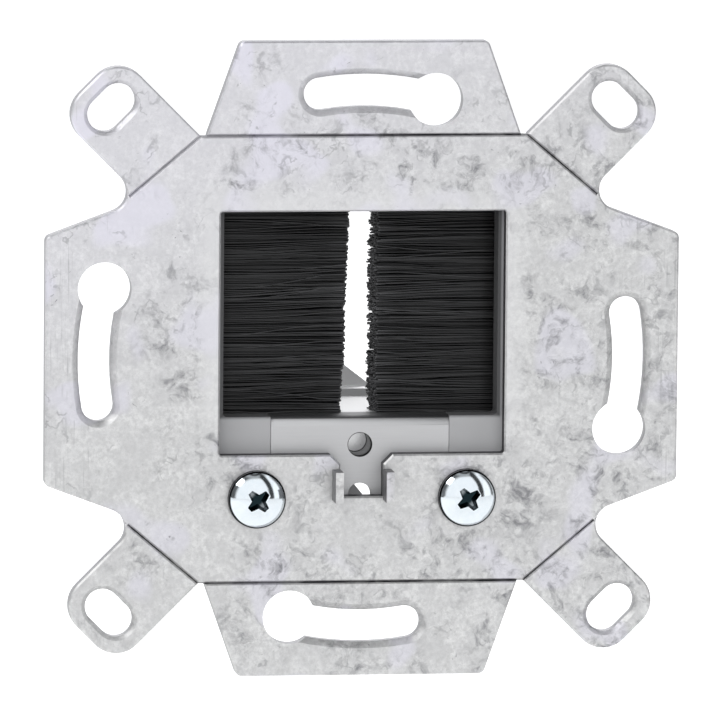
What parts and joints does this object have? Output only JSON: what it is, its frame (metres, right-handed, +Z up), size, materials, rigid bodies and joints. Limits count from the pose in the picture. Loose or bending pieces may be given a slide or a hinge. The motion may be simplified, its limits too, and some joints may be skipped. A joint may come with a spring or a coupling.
{
  "type": "cable outlet",
  "caption": "Flush-mounted cable outlet: cast support plate with keyholes and corner ears, facing brushes behind its window, and a strain-relief bracket.",
  "frame": {"origin": "centre of the 60 mm box-screw circle on the back face of the support plate, the face that lies against the wall", "axes": "X to the right and Z up along the wall; the visible front faces -Y, and +Y runs into the wall box"},
  "size_m": [0.071, 0.0271, 0.071],
  "materials": {
    "zinc_casting": "bare zinc die casting, matt and stained",
    "grey_moulding": "grey moulding, satin",
    "galvanised_sheet": "galvanised steel sheet, fine rolling lines",
    "channel_steel": "folded galvanised strip",
    "core_wire": "drawn steel wire",
    "black_bristle": "black nylon filament",
    "bright_screw": "bright zinc plating",
    "brass_insert": "turned brass",
    "nut_steel": "turned steel"
  },
  "bodies": {
    "root": {"support_plate": "zinc_casting", "brush_frame": "grey_moulding", "strain_relief_bracket": "galvanised_sheet", "left_brush_channel": "channel_steel", "right_brush_channel": "channel_steel", "left_core_wire": "core_wire", "right_core_wire": "core_wire", "left_bristles": "black_bristle", "right_bristles": "black_bristle", "left_fixing_screw": "bright_screw", "right_fixing_screw": "bright_screw", "left_threaded_insert": "brass_insert", "right_threaded_insert": "brass_insert", "cover_screw_nut": "nut_steel"}
  },
  "joints": []
}
